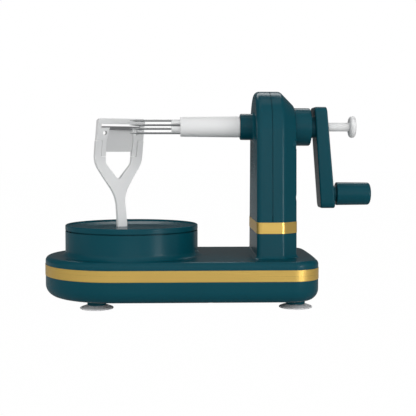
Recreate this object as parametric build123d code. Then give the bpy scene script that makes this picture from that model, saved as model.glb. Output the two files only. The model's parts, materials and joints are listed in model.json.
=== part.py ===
from build123d import *
from math import acos, atan, atan2, cos, hypot, pi, radians, sin, tan
import os

# Apple peeler corer: a geared bench-top tool. Millimetres, +Z up, origin at the bottom centre.
# +X points to the crank, -X to the turntable, and -Y is the front.

# Base, seen from above: a half circle on the left and a slightly bowed side on the right
BASE_LEFT_CENTRE = -78.5
BASE_HALF_WIDTH = 62.5
BASE_RIGHT = 91.0
BASE_BOW = 2.0
BASE_CORNER = 25.0
BASE_UNDERSIDE = 7.8
TRIM_LOW = 26.0
TRIM_HIGH = 35.3
PLATE_TOP = 42.0
BASE_BOTTOM_ROUND = 10.0
PLATE_ROUND = 4.0
WALL = 2.4
TRIM_PROUD = 0.25
TRIM_THICK = 1.2
FLOOR = BASE_UNDERSIDE + WALL

# Feet
FOOT_PLACES = {
    "front_left": (-94.6, -30.0),
    "back_left": (-94.6, 30.0),
    "front_right": (72.3, -30.0),
    "back_right": (72.3, 30.0),
}
FOOT_BOSS_RADIUS = 7.9
FOOT_BOSS_LOW = 2.9
CUP_RADIUS = 14.1
CUP_STEM_RADIUS = 2.9

# Pedestal and turntable
TABLE_X = -66.6
PEDESTAL_RADIUS = 57.1
PEDESTAL_TOP = 63.1
PEDESTAL_FLARE = 5.0
DISH_LOW = 63.9
DISH_FLOOR = 64.2
DISH_LIP = 68.4
PIVOT_RADIUS = 5.0

# Column, seen along X: tapered sides that end in a round arch
COLUMN_LEFT = 38.8
COLUMN_SPLIT = 51.8
COLUMN_RIGHT = 73.4
COLUMN_HALF_AT_PLATE = 42.0
ARCH_RADIUS = 36.8
COLUMN_TOP = 182.5
COLUMN_LEFT_ROUND = 4.5
COLUMN_SHOULDER = 12.5
COLUMN_SHOULDER_ROUND = 5.0
COLUMN_FOOT_FLARE = 3.5
COLUMN_ROOT = 30.0
COLUMN_TRIM_LOW = 62.8
COLUMN_TRIM_HIGH = 72.2
SEAM = 0.5

# Spindle: a hollow tube with the ejector rod inside, along X
SHAFT_Z = 152.2
TUBE_RADIUS = 3.6
TUBE_BORE = 2.15
CRANK_JOURNAL = 6.0
SLEEVE_JOURNAL = 6.0
SLEEVE_LEFT = -24.4
COLLAR_LEFT = 27.1
COLLAR_RADIUS = 11.3
COLLAR_FLARE = 3.0
HUB_RIGHT = 87.9
HUB_RADIUS = 16.25
BUSHING_WALL = 3.0
RUNNING = 0.05
PRESS = 0.02

# Prongs and ejector
PRONG_COUNT = 4
PRONG_RADIUS = 0.9
PRONG_CIRCLE = 5.6
PRONG_FIRST_ANGLE = 75.0
PRONG_TIP = -68.0
EJECTOR_ROD_RADIUS = 2.0
EJECTOR_HEAD_LEFT = -32.1
EJECTOR_HEAD_RADIUS = 5.9
BUTTON_STEM_RADIUS = 3.75
BUTTON_STEM_LEFT = 95.0
KNOB_LEFT = 122.1
KNOB_RIGHT = 127.4
KNOB_RADIUS = 9.3

# Crank
CRANK_THROW = 57.9
GRIP_Z = SHAFT_Z - CRANK_THROW
CRANK_HALF_WIDTHS = (14.0, 11.5)
CRANK_CORNER = 5.0
CRANK_SIDE = [(90.2, 169.2), (100.7, 169.2), (109.2, 82.1), (96.6, 82.1)]
GRIP_LEFT = 111.0
GRIP_RIGHT = 141.0
GRIP_PIN_RADIUS = 3.0
CAP_LEFT = 138.0
PIN_HEAD_LEFT = 135.2

# Gears
PRESSURE_ANGLE = radians(25)
ADDENDUM = 0.8
DEDENDUM = 1.1
BACKLASH = 0.15
BEVEL_MODULE = 1.25
BEVEL_PINION_TEETH = 12
BEVEL_GEAR_TEETH = 21
BEVEL_FACE_RATIO = 0.735
SPUR_MODULE = 1.5
DRIVE_TEETH = 10
IDLER_WHEEL_TEETH = 50
IDLER_PINION_TEETH = 30
TABLE_TEETH = 73
IDLER_X = TABLE_X + SPUR_MODULE * (TABLE_TEETH + IDLER_PINION_TEETH) / 2
DRIVE_X = IDLER_X + SPUR_MODULE * (IDLER_WHEEL_TEETH + DRIVE_TEETH) / 2
SHAFT_RADIUS = 3.0
LOWER_GEARS = (14.0, 19.0)
UPPER_GEARS = (21.0, 26.0)

# Peeler arm: an upright fork, turned about the turntable's axis and bowed round the fruit
ARM_TURN = 22.0
ARM_THICK = 5.0
ARM_RADIUS = 27.5
ARM_BOW = [(27.5, 45.0), (27.5, 70.0), (41.0, 115.0), (26.9, 163.5)]
ARM_BOW_ROUNDS = [60.0, 70.0]
HINGE_Z = 56.5
HINGE_RADIUS = 1.5
HEAD_TOP = 160.2
HEAD_HALF = 21.85
FORK_TOP = 140.5
TAB_LOW = 126.5
TAB_HALF = 16.3
WINDOW_HALF = 12.45
GUARD_LOW = 131.0
BLADE_SLOT = (152.2, 155.6)
BLADE_HALF = 18.3
HEAD_SEAM = 0.3

# Screws
SCREW_SHANK = 1.45
SCREW_PILOT = 1.5
SCREW_CLEARANCE = 1.7
SCREW_HEAD = 3.0
SCREW_HEAD_THICK = 2.0
BASE_SCREW_PLACES = [(x, side * y) for x, y in ((-124, 22), (0, 52), (80, 8)) for side in (-1, 1)]
COLUMN_SCREW_PLACES = [(side * 24.0, z) for side in (-1, 1) for z in (92.0, 136.0)]
TABLE_SCREW_COUNT = 3
TABLE_SCREW_CIRCLE = 12.5


def block(x_span, y_span, z_span):
    """A box between the two ends of each span."""
    lows, highs = zip(x_span, y_span, z_span)
    size = [high - low for low, high in zip(lows, highs)]
    return Pos(*lows) * Box(*size, align=(Align.MIN, Align.MIN, Align.MIN))


def rod_z(radius, low, high, x=0.0, y=0.0):
    """An upright cylinder."""
    return Pos(x, y, low) * Cylinder(radius, high - low, align=(Align.CENTER, Align.CENTER, Align.MIN))


def rod_x(radius, left, right, y=0.0, z=SHAFT_Z):
    """A cylinder along X."""
    upright = Cylinder(radius, right - left, align=(Align.CENTER, Align.CENTER, Align.MIN))
    return Pos(left, y, z) * Rot(0, 90, 0) * upright


def turned_x(profile):
    """A turned piece on the spindle's axis, from (x, radius) points."""
    outline = make_face(Polyline(profile, close=True))
    return Pos(0, 0, SHAFT_Z) * revolve(Plane.XZ * outline, Axis.X)


def turned_z(profile, x=0.0, y=0.0):
    """A turned piece on an upright axis, from (radius, z) points."""
    outline = make_face(Polyline(profile, close=True))
    return Pos(x, y, 0) * revolve(Plane.XZ * outline, Axis.Z)


def flare_outline(radius, size):
    """Section of a concave ring round a cylinder: it stands size high on the line y = 0."""
    middle = (radius + size * (1 - cos(pi / 4)), size * (1 - sin(pi / 4)))
    edge = radius + size
    inside = radius - 1
    slope = ThreePointArc((radius, size), middle, (edge, 0))
    back = Polyline((edge, 0), (edge, -1), (inside, -1), (inside, size), (radius, size))
    return make_face([slope, *back.edges()])


# ---- gears


def tooth_half_angle(radius, pitch_radius, module):
    """Half the angle that an involute tooth takes at a radius."""
    base = pitch_radius * cos(PRESSURE_ANGLE)

    def involute(at):
        slant = acos(base / at) if at > base else 0.0
        return tan(slant) - slant

    at_pitch = (pi * module / 2 - BACKLASH) / (2 * pitch_radius)
    return at_pitch + involute(pitch_radius) - involute(radius)


def flank_heights(module, pitch_radius):
    """Heights above the pitch line at which a flank has its points."""
    base_height = pitch_radius * (cos(PRESSURE_ANGLE) - 1)
    low = -DEDENDUM * module
    high = ADDENDUM * module
    start = max(low, base_height)
    steps = [start + (high - start) * step / 3 for step in range(4)]
    return [low] + steps if start > low else steps


def toothed_outline(teeth, first_angle, flank):
    """A closed outline that repeats one tooth; flank is its (radius, half angle) points from root to tip."""
    points = []
    for tooth in range(teeth):
        centre = first_angle + 2 * pi * tooth / teeth
        rising = [(radius, centre - half) for radius, half in flank]
        falling = [(radius, centre + half) for radius, half in reversed(flank)]
        points += [(radius * cos(angle), radius * sin(angle)) for radius, angle in rising + falling]
    return make_face(Polyline(points, close=True))


def spur_teeth(teeth, z_span, first_angle):
    """A solid toothed disc on the Z axis."""
    pitch_radius = SPUR_MODULE * teeth / 2
    flank = []
    for height in flank_heights(SPUR_MODULE, pitch_radius):
        radius = pitch_radius + height
        flank.append((radius, tooth_half_angle(radius, pitch_radius, SPUR_MODULE)))
    outline = toothed_outline(teeth, first_angle, flank)
    return extrude(Pos(0, 0, z_span[0]) * outline, z_span[1] - z_span[0])


def bevel_teeth(teeth, mate_teeth, first_angle):
    """Straight bevel teeth whose cone's apex is the origin and whose large end is below it."""
    pitch_radius = BEVEL_MODULE * teeth / 2
    distance = BEVEL_MODULE * mate_teeth / 2
    cone = atan(pitch_radius / distance)
    slant = hypot(pitch_radius, distance)
    virtual = pitch_radius / cos(cone)
    flank = []
    for height in flank_heights(BEVEL_MODULE, virtual):
        arc = (virtual + height) * tooth_half_angle(virtual + height, virtual, BEVEL_MODULE)
        spread = cone + height / slant
        flank.append((distance * tan(spread), arc / (slant * sin(spread))))
    large = toothed_outline(teeth, first_angle, flank)
    small = scale(large, BEVEL_FACE_RATIO)
    ends = [Pos(0, 0, -distance) * large, Pos(0, 0, -distance * BEVEL_FACE_RATIO) * small]
    return loft(ends, ruled=True)


# ---- base


def base_outline(inset):
    """Plan of the base, drawn inwards by inset."""
    half = BASE_HALF_WIDTH - inset
    right = BASE_RIGHT - inset
    corner = right - BASE_BOW
    left_end = ThreePointArc(
        (BASE_LEFT_CENTRE, half), (BASE_LEFT_CENTRE - half, 0), (BASE_LEFT_CENTRE, -half)
    )
    front = Line((BASE_LEFT_CENTRE, -half), (corner, -half))
    side = ThreePointArc((corner, -half), (right, 0), (corner, half))
    back = Line((corner, half), (BASE_LEFT_CENTRE, half))
    outline = make_face([left_end, front, side, back])
    return fillet(outline.vertices().group_by(Axis.X)[-1], BASE_CORNER - inset)


def base_prism(inset, low, high):
    """The base's plan, drawn inwards by inset, between two heights."""
    return extrude(Pos(0, 0, low) * base_outline(inset), high - low)


def base_lower_shell():
    """Bottom tray with foot bosses, screw bosses and the sockets of the pivots."""
    outer = base_prism(TRIM_PROUD, BASE_UNDERSIDE, TRIM_LOW)
    outer = fillet(outer.faces().sort_by(Axis.Z)[0].edges(), BASE_BOTTOM_ROUND)
    inner = base_prism(TRIM_PROUD + WALL, FLOOR, TRIM_LOW)
    inner = fillet(inner.faces().sort_by(Axis.Z)[0].edges(), BASE_BOTTOM_ROUND - WALL)
    tray = outer - inner
    for x, y in FOOT_PLACES.values():
        tray += rod_z(FOOT_BOSS_RADIUS, FOOT_BOSS_LOW, FLOOR, x, y)
    for x, y in BASE_SCREW_PLACES:
        tray += rod_z(4.5, BASE_UNDERSIDE + 1, 20, x, y)
    tray += rod_z(7.0, FLOOR - 1, 13.6, IDLER_X)
    tray += rod_z(8.0, FLOOR - 1, 17.0, DRIVE_X)
    for x, y in FOOT_PLACES.values():
        tray -= rod_z(CUP_STEM_RADIUS + PRESS, FOOT_BOSS_LOW, 9.2, x, y)
    for x, y in BASE_SCREW_PLACES:
        tray -= rod_z(SCREW_HEAD + 0.4, BASE_UNDERSIDE - 1, 17.5, x, y)
        tray -= rod_z(SCREW_CLEARANCE, 17, 21, x, y)
    tray -= rod_z(PIVOT_RADIUS, FLOOR - 1.2, FLOOR + 1, TABLE_X)
    tray -= rod_z(SHAFT_RADIUS, FLOOR - 1.2, 14, IDLER_X)
    tray -= rod_z(5.0, FLOOR, 18, DRIVE_X)
    return tray


def base_trim_band():
    """Gold band between the two base shells."""
    return base_prism(0, TRIM_LOW, TRIM_HIGH) - base_prism(TRIM_THICK, TRIM_LOW, TRIM_HIGH)


def column_block(inset, low=COLUMN_ROOT, high=COLUMN_TOP + 1):
    """The column's solid, drawn inwards by inset, between two heights."""
    radius = ARCH_RADIUS - inset
    centre = COLUMN_TOP - ARCH_RADIUS
    half = COLUMN_HALF_AT_PLATE - inset
    drop = centre - PLATE_TOP
    touch_angle = atan2(-drop, half) + acos(radius / hypot(half, drop))
    touch_y = radius * cos(touch_angle)
    touch_z = centre + radius * sin(touch_angle)
    root = half + (half - touch_y) * (PLATE_TOP - COLUMN_ROOT) / (touch_z - PLATE_TOP)
    arch = ThreePointArc((touch_y, touch_z), (0, centre + radius), (-touch_y, touch_z))
    back = Line((root, COLUMN_ROOT), (touch_y, touch_z))
    front = Line((-touch_y, touch_z), (-root, COLUMN_ROOT))
    foot = Line((-root, COLUMN_ROOT), (root, COLUMN_ROOT))
    left = COLUMN_LEFT + inset
    width = COLUMN_RIGHT - inset - left
    solid = extrude(Plane.YZ.offset(left) * make_face([back, arch, front, foot]), width)
    left_edges = solid.faces().sort_by(Axis.X)[0].edges().sort_by(Axis.Z)[1:]
    solid = fillet(left_edges, max(COLUMN_LEFT_ROUND - inset, 1.0))
    right_edges = solid.faces().sort_by(Axis.X)[-1].edges().sort_by(Axis.Z)[1:]
    shoulder = COLUMN_SHOULDER - inset * (2 - 2**0.5)
    solid = chamfer(right_edges, shoulder)
    for x in (left + width, left + width - shoulder):
        ridge = solid.edges().filter_by_position(Axis.X, x, x)
        ridge = [edge for edge in ridge if edge.center().Z > COLUMN_ROOT + 1]
        solid = fillet(ridge, max(COLUMN_SHOULDER_ROUND - inset, 0.8))
    return solid & block((0, 100), (-60, 60), (low, high))


def base_upper_shell():
    """Plate, pedestal and column stub in one moulding."""
    plate = base_prism(TRIM_PROUD, TRIM_HIGH, PLATE_TOP)
    plate = fillet(plate.faces().sort_by(Axis.Z)[-1].edges(), PLATE_ROUND)
    pedestal = rod_z(PEDESTAL_RADIUS, TRIM_HIGH, PEDESTAL_TOP, TABLE_X)
    stub = column_block(0, TRIM_HIGH, COLUMN_TRIM_LOW)
    shell = plate + pedestal + stub
    foot_room = block((COLUMN_LEFT - 1, COLUMN_RIGHT + 1), (-43, 43), (PLATE_TOP - 0.1, PLATE_TOP + 0.1))
    flat_edges = [edge for edge in shell.edges() if edge.bounding_box().size.Z < 0.01]
    stub_foot = [edge for edge in flat_edges if foot_room.is_inside(edge.center())]
    shell = fillet(stub_foot, COLUMN_FOOT_FLARE)
    circles = shell.edges().filter_by(GeomType.CIRCLE).filter_by_position(Axis.Z, PLATE_TOP, PLATE_TOP)
    pedestal_foot = [edge for edge in circles if abs(edge.radius - PEDESTAL_RADIUS) < 0.01]
    shell = fillet(pedestal_foot, PEDESTAL_FLARE)
    shell += base_prism(TRIM_THICK + RUNNING, TRIM_LOW, TRIM_HIGH + 0.1)
    shell += column_block(1.0, PLATE_TOP, COLUMN_TRIM_HIGH)
    shell -= base_prism(TRIM_THICK + RUNNING + WALL, TRIM_LOW - 1, PLATE_TOP - WALL)
    shell -= rod_z(PEDESTAL_RADIUS - WALL, TRIM_LOW, PEDESTAL_TOP + 1, TABLE_X)
    shell -= column_block(3.2, COLUMN_ROOT, COLUMN_TRIM_HIGH + 1)
    for x, y in BASE_SCREW_PLACES:
        shell += rod_z(3.5, 20, PLATE_TOP - WALL + 0.5, x, y)
    for x, y in BASE_SCREW_PLACES:
        shell -= rod_z(SCREW_PILOT, 19, 31, x, y)
    return shell


def column_trim_band():
    """Gold band round the column."""
    outer = column_block(-TRIM_PROUD, COLUMN_TRIM_LOW, COLUMN_TRIM_HIGH)
    return outer - column_block(1.0 - RUNNING, COLUMN_TRIM_LOW - 1, COLUMN_TRIM_HIGH + 1)


def suction_cup(x, y):
    """A flat rubber cup whose stem is pushed into a foot boss."""
    profile = [
        (0, 9.0),
        (CUP_STEM_RADIUS, 9.0),
        (CUP_STEM_RADIUS, FOOT_BOSS_LOW),
        (7.0, FOOT_BOSS_LOW),
        (9.0, 2.3),
        (12.0, 1.4),
        (CUP_RADIUS, 0.9),
        (CUP_RADIUS, 0.0),
        (12.9, 0.0),
        (9.0, 0.9),
        (5.0, 1.4),
        (0, 1.5),
    ]
    return turned_z(profile, x, y)


def screws_up(places, head_low, tip):
    """Screws that point up, as one group."""
    group = []
    for x, y in places:
        screw = rod_z(SCREW_HEAD, head_low, head_low + SCREW_HEAD_THICK, x, y)
        screw += rod_z(SCREW_SHANK, head_low + 1, tip, x, y)
        screw -= Pos(x, y, head_low) * Box(4.0, 0.9, 1.8)
        screw -= Pos(x, y, head_low) * Box(0.9, 4.0, 1.8)
        group.append(screw)
    return Compound(children=group)


# ---- column


def column_shell():
    """Hollow column above its trim band, before it is split into halves."""
    shell = column_block(0, COLUMN_TRIM_HIGH) - column_block(WALL, COLUMN_TRIM_HIGH - 1)
    tongue = column_block(3.25, COLUMN_TRIM_HIGH - 7, COLUMN_TRIM_HIGH + 4)
    shell += column_block(WALL - 0.1, COLUMN_TRIM_HIGH + 0.5, COLUMN_TRIM_HIGH + 4) + tongue
    return shell - column_block(5.2, COLUMN_TRIM_HIGH - 8)


def ledges(x_span):
    """Two ledges that carry the shaft bracket."""
    back = block(x_span, (12, 22), (121, 125.9))
    return back + mirror(back, Plane.XZ)


def column_left_half(shell):
    """Left half of the column, with the collar that the spindle comes out of."""
    half = shell & block((0, COLUMN_SPLIT - SEAM / 2), (-60, 60), (0, 200))
    lip = column_block(1.1, COLUMN_TRIM_HIGH + 5) - column_block(WALL + 0.2, COLUMN_TRIM_HIGH)
    half += lip & block((COLUMN_SPLIT - 4, COLUMN_SPLIT + 1.5), (-60, 60), (COLUMN_TRIM_HIGH + 5, 200))
    collar = [(COLLAR_LEFT, 0), (COLLAR_LEFT, COLLAR_RADIUS), (COLUMN_LEFT + 1, COLLAR_RADIUS)]
    collar = turned_x(collar + [(COLUMN_LEFT + 1, 0)])
    collar = fillet(collar.edges().group_by(Axis.X)[0], 1.2)
    neck = revolve(Plane.XZ * flare_outline(COLLAR_RADIUS, COLLAR_FLARE), Axis.Z)
    half += collar + Pos(COLUMN_LEFT, 0, SHAFT_Z) * Rot(0, -90, 0) * neck
    half += ledges((COLUMN_LEFT + 1, 44))
    for y, z in COLUMN_SCREW_PLACES:
        half += rod_x(4.0, COLUMN_LEFT + 1, COLUMN_SPLIT - SEAM / 2, y, z)
        half -= rod_x(SCREW_PILOT, COLUMN_LEFT + WALL + 1, COLUMN_SPLIT + 1, y, z)
    return half - rod_x(SLEEVE_JOURNAL + RUNNING + 2.4, COLLAR_LEFT - 1, 45)


def column_right_half(shell):
    """Right half of the column, with the hub that the crank's journal comes out of."""
    half = shell & block((COLUMN_SPLIT + SEAM / 2, 100), (-60, 60), (0, 200))
    lip_room = column_block(1.0, COLUMN_TRIM_HIGH + 4.5)
    half -= lip_room & block((COLUMN_SPLIT, COLUMN_SPLIT + 2), (-60, 60), (COLUMN_TRIM_HIGH + 4.5, 200))
    hub = turned_x([(70, 0), (70, HUB_RADIUS), (HUB_RIGHT, HUB_RADIUS), (HUB_RIGHT, 0)])
    hub = fillet(hub.edges().group_by(Axis.X)[-1], 1.7)
    half += hub - block((0, COLUMN_RIGHT - WALL), (-60, 60), (0, 200))
    half += ledges((67.5, COLUMN_RIGHT - 1))
    for y, z in COLUMN_SCREW_PLACES:
        half += rod_x(4.6, COLUMN_SPLIT + SEAM / 2, COLUMN_RIGHT - 1, y, z)
        half -= rod_x(SCREW_CLEARANCE, COLUMN_SPLIT, COLUMN_RIGHT, y, z)
        half -= rod_x(SCREW_HEAD + 0.4, 62, COLUMN_RIGHT + 1, y, z)
    return half - rod_x(CRANK_JOURNAL + RUNNING + BUSHING_WALL, 60, HUB_RIGHT + 1)


def column_screws():
    """Four screws that hold the column's halves together."""
    group = []
    for y, z in COLUMN_SCREW_PLACES:
        screw = rod_x(SCREW_HEAD, 62, 62 + SCREW_HEAD_THICK, y, z)
        screw += rod_x(SCREW_SHANK, 44, 63, y, z)
        screw -= Pos(64, y, z) * Box(1.8, 4.0, 0.9)
        screw -= Pos(64, y, z) * Box(1.8, 0.9, 4.0)
        group.append(screw)
    return Compound(children=group)


def ring_x(inner, outer, left, right):
    """A plain ring on the spindle's axis."""
    return rod_x(outer, left, right) - rod_x(inner, left - 1, right + 1)


def ring_z(inner, outer, low, high, x):
    """A plain upright ring."""
    return rod_z(outer, low, high, x) - rod_z(inner, low - 1, high + 1, x)


def shaft_bracket():
    """Cross plate in the column that holds the drive shaft's upper bushing."""
    plate = block((42.0, 70.2), (-23, 23), (126, 130))
    plate += rod_z(9.0, 118, 130, DRIVE_X)
    return plate - rod_z(5.0, 117, 131, DRIVE_X)


# ---- spindle and crank


def spindle_tube():
    """Hollow steel spindle, thicker where it runs in the rear bushing and holds the crank."""
    tube = rod_x(TUBE_RADIUS, -20, 69) + rod_x(CRANK_JOURNAL, 69, 98)
    tube -= rod_x(TUBE_BORE, -21, 73)
    tube -= rod_x(BUTTON_STEM_RADIUS + 0.25, 72, 99)
    groove = ring_x(CRANK_JOURNAL - 0.6, CRANK_JOURNAL + 1, 70.25, 71.35)
    return tube - groove


def spindle_sleeve():
    """Light-grey sleeve over the spindle, with a journal that runs in the front bushing."""
    profile = [
        (SLEEVE_LEFT, 7.2),
        (SLEEVE_LEFT, 8.1),
        (SLEEVE_LEFT + 0.35, 8.45),
        (COLLAR_LEFT - 0.4, 9.05),
        (COLLAR_LEFT - 0.4, SLEEVE_JOURNAL),
        (41.5, SLEEVE_JOURNAL),
        (41.5, TUBE_RADIUS + PRESS),
        (-12.2, TUBE_RADIUS + PRESS),
        (-12.2, 7.2),
    ]
    return turned_x(profile)


def prong_places():
    """Y and Z of each prong."""
    places = []
    for prong in range(PRONG_COUNT):
        angle = radians(PRONG_FIRST_ANGLE + 360 / PRONG_COUNT * prong)
        places.append((PRONG_CIRCLE * cos(angle), SHAFT_Z + PRONG_CIRCLE * sin(angle)))
    return places


def prong_holder():
    """Plug in the sleeve's end that holds the prongs."""
    holder = rod_x(7.15, SLEEVE_LEFT + 0.2, -12.4)
    holder -= rod_x(EJECTOR_ROD_RADIUS + 0.15, -26, -19)
    holder -= rod_x(TUBE_RADIUS + PRESS, -20.1, -11)
    for y, z in prong_places():
        holder -= rod_x(PRONG_RADIUS, -26, -14, y, z)
    return holder


def prongs():
    """Four pointed steel prongs."""
    taper = 6.0
    group = []
    for y, z in prong_places():
        pin = rod_x(PRONG_RADIUS, PRONG_TIP + taper, -14, y, z)
        tip = Cone(PRONG_RADIUS, 0.15, taper, align=(Align.CENTER, Align.CENTER, Align.MIN))
        pin += Pos(PRONG_TIP + taper, y, z) * Rot(0, -90, 0) * tip
        group.append(pin)
    return Compound(children=group)


def spindle_pinion():
    """Small bevel gear on the spindle, in mesh straight below its axis."""
    teeth = Rot(0, 90, 0) * bevel_teeth(BEVEL_PINION_TEETH, BEVEL_GEAR_TEETH, 0)
    return Pos(DRIVE_X, 0, SHAFT_Z) * teeth - rod_x(TUBE_RADIUS + PRESS, 40, 50)


def crank_arm():
    """Tapered crank arm that leans outwards towards its grip."""
    (top_half, foot_half), (top, foot) = CRANK_HALF_WIDTHS, (CRANK_SIDE[0][1], CRANK_SIDE[2][1])
    flat = make_face(Polyline(both_sides([(foot_half, foot), (top_half, top)]), close=True))
    flat = fillet(flat.vertices(), CRANK_CORNER)
    side = make_face(Polyline(CRANK_SIDE, close=True))
    arm = extrude(Plane.YZ.offset(85) * flat, 30) & extrude(Plane.XZ * side, 40, both=True)
    faces = arm.faces().filter_by(GeomType.PLANE).sort_by(Axis.X)
    arm = fillet(faces[0].edges() + faces[-1].edges(), 1.4)
    arm += rod_x(9.5, HUB_RIGHT + 0.5, 93)
    arm += rod_x(7.0, 104, GRIP_LEFT - 0.4, 0, GRIP_Z)
    arm -= rod_x(CRANK_JOURNAL + PRESS, 85, 98)
    arm -= rod_x(BUTTON_STEM_RADIUS + 0.25, 97, 115)
    return arm - rod_x(GRIP_PIN_RADIUS + PRESS, 99, 115, 0, GRIP_Z)


def crank_circlip():
    """Open ring in the journal's groove that keeps the spindle in the column."""
    ring = ring_x(CRANK_JOURNAL - 0.58, 7.4, 70.3, 71.3)
    return ring - block((70, 72), (-2.5, 2.5), (SHAFT_Z, SHAFT_Z + 10))


def grip_pin():
    """Steel pin that the grip turns on."""
    pin = rod_x(GRIP_PIN_RADIUS, 99.2, PIN_HEAD_LEFT + 1, 0, GRIP_Z)
    return pin + rod_x(5.0, PIN_HEAD_LEFT, PIN_HEAD_LEFT + 1.8, 0, GRIP_Z)


def grip():
    """Round hand grip with a recess for the pin's head and the cap."""
    seat = GRIP_RIGHT - 0.3
    rim = ThreePointArc((seat - 2.3, 9.72), (seat - 1.0, 9.2), (seat - 0.3, 8.1))
    end = ThreePointArc((seat - 0.3, 8.1), (seat - 0.12, 7.55), (seat, 7.0))
    bore = GRIP_PIN_RADIUS + RUNNING
    recess = [(seat, 7.0), (CAP_LEFT, 7.0), (CAP_LEFT, 5.6), (PIN_HEAD_LEFT - 0.3, 5.6)]
    inside = Polyline(recess + [(PIN_HEAD_LEFT - 0.3, bore), (GRIP_LEFT, bore)])
    face = Line((GRIP_LEFT, bore), (GRIP_LEFT, 9.3))
    lead = ThreePointArc((GRIP_LEFT, 9.3), (GRIP_LEFT + 0.2, 9.8), (GRIP_LEFT + 0.7, 10.0))
    side = Line((GRIP_LEFT + 0.7, 10.0), (seat - 2.3, 9.72))
    outline = make_face([rim, end, *inside.edges(), face, lead, side])
    return Pos(0, 0, GRIP_Z) * revolve(Plane.XZ * outline, Axis.X)


def grip_cap():
    """Slightly domed cap that closes the grip's end."""
    radius = 6.97
    rise = 0.3
    crown_radius = (radius**2 + rise**2) / (2 * rise)
    middle = GRIP_RIGHT - crown_radius + (crown_radius**2 - (radius / 2) ** 2) ** 0.5
    crown = ThreePointArc((GRIP_RIGHT - rise, radius), (middle, radius / 2), (GRIP_RIGHT, 0))
    back = Polyline((GRIP_RIGHT, 0), (CAP_LEFT, 0), (CAP_LEFT, radius), (GRIP_RIGHT - rise, radius))
    outline = make_face([crown, *back.edges()])
    return Pos(0, 0, GRIP_Z) * revolve(Plane.XZ * outline, Axis.X)


def coil(wire_radius, mean_radius, pitch, length):
    """A round-wire coil on the Z axis, starting at the origin."""
    path = Helix(pitch, length, mean_radius)
    section = Plane(path @ 0, z_dir=path % 0) * Circle(wire_radius)
    return sweep(section, path=path)


def ejector_spring():
    """Return spring between the spindle's shoulder and the ejector's collar."""
    wire = 0.4
    start = 72 + wire + 0.1
    length = 93.8 - wire - 0.1 - start
    return Pos(start, 0, SHAFT_Z) * Rot(0, 90, 0) * coil(wire, 3.0, length / 6, length)


def ejector_head():
    """Notched pusher that slides along the prongs."""
    head = rod_x(EJECTOR_HEAD_RADIUS, EJECTOR_HEAD_LEFT, SLEEVE_LEFT + 0.1)
    head = chamfer(head.edges().group_by(Axis.X)[0], 0.5)
    for y, z in prong_places():
        head -= rod_x(PRONG_RADIUS + 0.3, -35, -20, y, z)
    return head - rod_x(EJECTOR_ROD_RADIUS, -31, -20)


def ejector_button():
    """Push button: a stem with a rounded disc head."""
    stem = rod_x(BUTTON_STEM_RADIUS, BUTTON_STEM_LEFT, KNOB_LEFT + 1)
    knob = rod_x(KNOB_RADIUS, KNOB_LEFT, KNOB_RIGHT)
    knob = fillet(knob.edges().group_by(Axis.X)[0] + knob.edges().group_by(Axis.X)[-1], 2.3)
    return stem + knob - rod_x(EJECTOR_ROD_RADIUS, BUTTON_STEM_LEFT - 1, 101)


# ---- drive train


def bevel_gear():
    """Large bevel gear on top of the drive shaft, with a tooth gap towards the pinion."""
    first = pi + pi / BEVEL_GEAR_TEETH
    teeth = bevel_teeth(BEVEL_GEAR_TEETH, BEVEL_PINION_TEETH, first)
    gear = Pos(DRIVE_X, 0, SHAFT_Z) * teeth & rod_z(13.7, 140, 150, DRIVE_X)
    back = SHAFT_Z - BEVEL_MODULE * BEVEL_PINION_TEETH / 2
    gear += rod_z(11.0, back - 2.5, back, DRIVE_X)
    gear += rod_z(6.0, 133, back, DRIVE_X)
    return gear - rod_z(SHAFT_RADIUS, 130, 150, DRIVE_X)


def drive_pinion():
    """Spur pinion at the foot of the drive shaft."""
    teeth = spur_teeth(DRIVE_TEETH, (20.5, 26.5), pi)
    return Pos(DRIVE_X, 0, 0) * teeth - rod_z(SHAFT_RADIUS, 19, 28, DRIVE_X)


def idler_gear():
    """Large wheel and small pinion in one moulding."""
    wheel = spur_teeth(IDLER_WHEEL_TEETH, UPPER_GEARS, pi / IDLER_WHEEL_TEETH)
    pinion = spur_teeth(IDLER_PINION_TEETH, LOWER_GEARS, pi)
    gear = wheel + pinion + rod_z(19.5, LOWER_GEARS[0], UPPER_GEARS[0] + 1)
    gear -= rod_z(SHAFT_RADIUS + RUNNING, 13, 27)
    gear -= rod_z(33, 23.5, 27) - rod_z(8, 23, 27)
    return Pos(IDLER_X, 0, 0) * gear


def turntable_gear():
    """Large spur gear under the turntable, with a hub and round openings in its web."""
    teeth = spur_teeth(TABLE_TEETH, LOWER_GEARS, pi / TABLE_TEETH)
    gear = teeth + rod_z(16, LOWER_GEARS[0], 24)
    gear -= rod_z(PIVOT_RADIUS + RUNNING, 13, 25)
    for place in PolarLocations(35, 6):
        gear -= place * rod_z(12, 13, 25)
    for place in PolarLocations(TABLE_SCREW_CIRCLE, TABLE_SCREW_COUNT):
        gear -= place * rod_z(SCREW_CLEARANCE, 13, 25)
        gear -= place * rod_z(SCREW_HEAD + 0.1, 13, 16.5)
    return Pos(TABLE_X, 0, 0) * gear


def table_screw_places():
    """X and Y of the screws that hold the gear to the dish."""
    return [
        (TABLE_X + place.position.X, place.position.Y)
        for place in PolarLocations(TABLE_SCREW_CIRCLE, TABLE_SCREW_COUNT)
    ]


def turntable_pivot():
    """Steel post that the turntable turns on."""
    post = rod_z(PIVOT_RADIUS, FLOOR - 1.2, 50, TABLE_X)
    return post + rod_z(9.0, FLOOR + 0.05, 13.6, TABLE_X)


def idler_axle():
    """Steel pin with a retaining head."""
    pin = rod_z(SHAFT_RADIUS, FLOOR - 1.2, 28, IDLER_X)
    return pin + rod_z(5.0, 26.5, 28, IDLER_X)


# ---- turntable and peeler arm; local x is tangential, y is radial


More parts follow.
